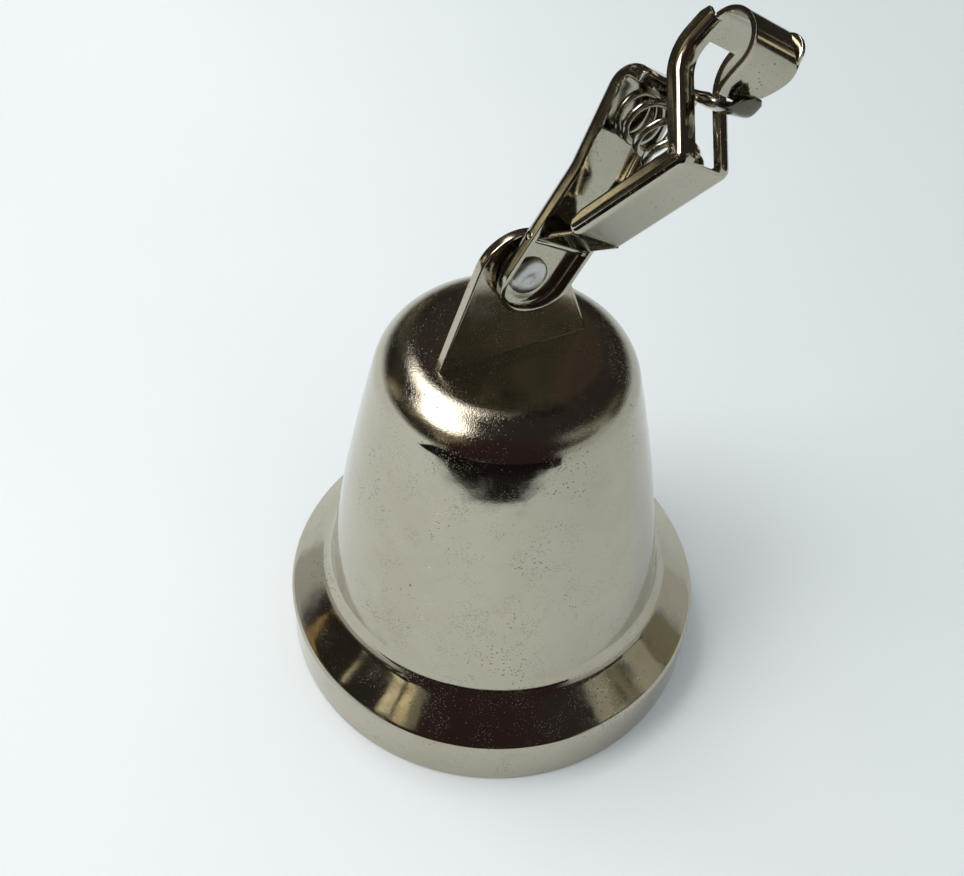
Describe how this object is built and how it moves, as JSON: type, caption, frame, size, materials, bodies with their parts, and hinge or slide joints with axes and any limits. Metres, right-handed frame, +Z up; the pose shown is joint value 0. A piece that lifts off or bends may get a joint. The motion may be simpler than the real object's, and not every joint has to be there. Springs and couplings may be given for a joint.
{
  "type": "clip-on bell",
  "caption": "Small flared metal bell with an upright tab, a swivelling sprung clip with a hooked jaw, and a ball clapper hung inside on a wire link.",
  "frame": {"origin": "centre of the bell's mouth circle, on the plane the bell stands on", "axes": "+Z up the bell's axis to the crown; the tab's front face looks along -Y; the clip leans towards +X at rest"},
  "size_m": [0.0492, 0.0492, 0.0826],
  "materials": {
    "bell_nickel": "bright nickel plate on pressed steel, fine scuffs",
    "tab_nickel": "bright nickel plate on pressed steel",
    "clip_nickel": "bright nickel plate on bent sheet",
    "rivet_steel": "plated rivet and washers, satin",
    "spring_steel": "plated spring wire",
    "clapper_steel": "plated wire and ball"
  },
  "bodies": {
    "bell": {"bell_shell": "bell_nickel", "hanger_tab": "tab_nickel", "swivel_rivet": "rivet_steel", "spacer_washer": "rivet_steel", "back_washer": "rivet_steel"},
    "clip": {"clip_arm": "clip_nickel", "clip_spring": "spring_steel"},
    "lever": {"lever_arm": "clip_nickel"},
    "link": {"clapper_link": "clapper_steel"},
    "clapper": {"clapper_rod": "clapper_steel", "clapper_ball": "clapper_steel"}
  },
  "joints": [
    {"name": "clip_swivel", "type": "hinge", "parent": "bell", "child": "clip", "pos_m": [0.0004, -0.0011, 0.0555], "axis": [0, 1, 0], "range_deg": [-135, 70]},
    {"name": "lever_squeeze", "type": "hinge", "parent": "clip", "child": "lever", "pos_m": [0.00308, -0.00237, 0.05866], "axis": [-0.848, 0, 0.5299], "range_deg": [0, 10], "stiffness_Nm_per_rad": 0.02, "deforming": ["clip_spring"]},
    {"name": "link_rock", "type": "hinge", "parent": "bell", "child": "link", "pos_m": [0, -0.00055, 0.0396], "axis": [1, 0, 0], "range_deg": [-12, 12]},
    {"name": "clapper_swing", "type": "hinge", "parent": "link", "child": "clapper", "pos_m": [0, -0.00055, 0.03425], "axis": [0, 1, 0], "range_deg": [-36.5, 36.5]}
  ]
}
